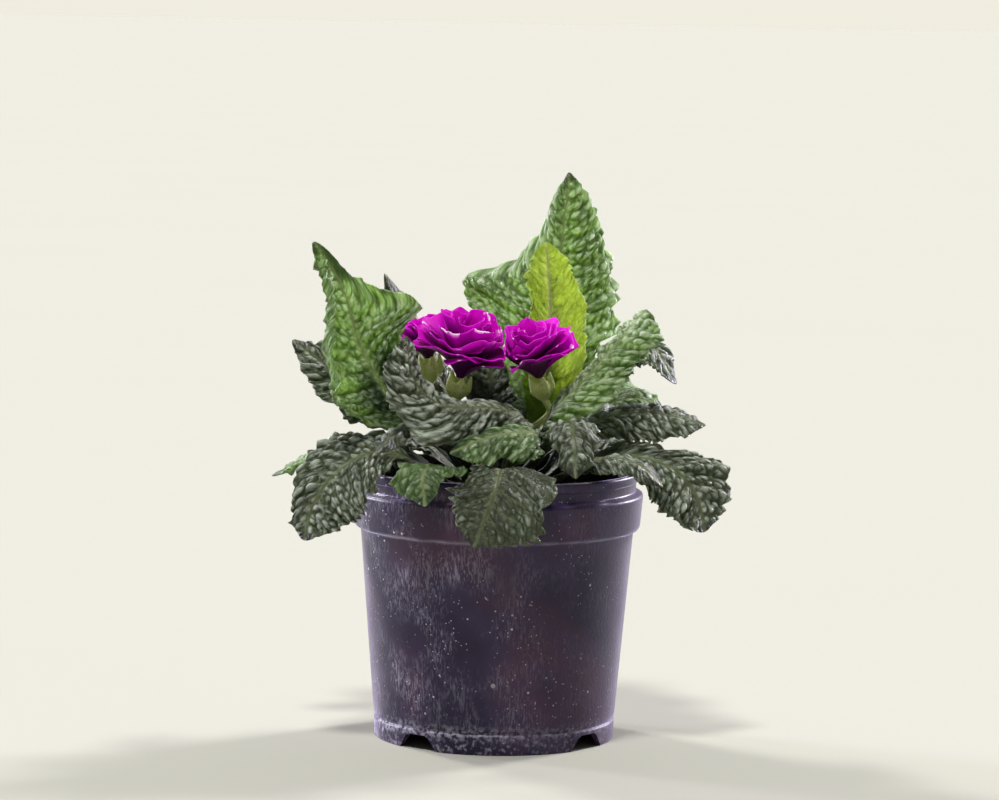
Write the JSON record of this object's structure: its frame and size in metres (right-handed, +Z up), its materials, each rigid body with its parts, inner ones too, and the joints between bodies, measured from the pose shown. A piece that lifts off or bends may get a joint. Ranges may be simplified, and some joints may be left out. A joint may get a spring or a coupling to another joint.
{
  "type": "potted primrose",
  "caption": "Flowering primrose with crinkled leaves and ruffled double violet blooms in a round tapered plastic nursery pot with a broad rim band.",
  "frame": {"origin": "on the surface it stands on, in the middle of the foot's ring, which is also the middle of the plant's spread", "axes": "+Z up along the pot's axis; -Y is the front, which the picture shows; +X is to the right in that view"},
  "size_m": [0.1652, 0.132, 0.203],
  "materials": {
    "pot_plastic": "dark aubergine, satin, with whitish water deposits",
    "compost": "moist crumbly peat",
    "crown": "fibrous rootstock",
    "leaf_dark": "crinkled dark leaf with a soft sheen",
    "leaf_green": "crinkled mid green leaf with a soft sheen",
    "leaf_young": "thin bright young leaf that light passes through",
    "petal": "velvety magenta violet petal with a fine pale edge",
    "flower_stalk": "pale green downy stalk and calyx"
  },
  "bodies": {
    "root": {"pot": "pot_plastic", "compost": "compost", "crown": "crown", "leaf_rear_tall": "leaf_green", "leaf_rear_young": "leaf_young", "leaf_left_tall": "leaf_green", "leaf_right_roll": "leaf_green", "leaf_right_hook": "leaf_dark", "leaf_right_back": "leaf_green", "leaf_right_level": "leaf_dark", "leaf_right_low": "leaf_dark", "leaf_front_right_low": "leaf_dark", "leaf_front_right": "leaf_dark", "leaf_front_upper": "leaf_dark", "leaf_front_middle": "leaf_green", "leaf_front_low": "leaf_dark", "leaf_front_left_low": "leaf_green", "leaf_left_low": "leaf_dark", "leaf_left_small": "leaf_dark", "leaf_left_inner": "leaf_green", "leaf_left_out": "leaf_green", "leaf_left_rear": "leaf_dark", "leaf_rear_left": "leaf_dark", "leaf_back_a": "leaf_dark", "leaf_back_b": "leaf_green", "leaf_back_c": "leaf_dark", "leaf_back_d": "leaf_dark", "leaf_back_e": "leaf_green", "bloom_middle": "petal", "bloom_right": "petal", "bloom_left": "petal", "flower_stalk_middle": "flower_stalk", "flower_stalk_right": "flower_stalk", "flower_stalk_left": "flower_stalk"}
  },
  "joints": []
}
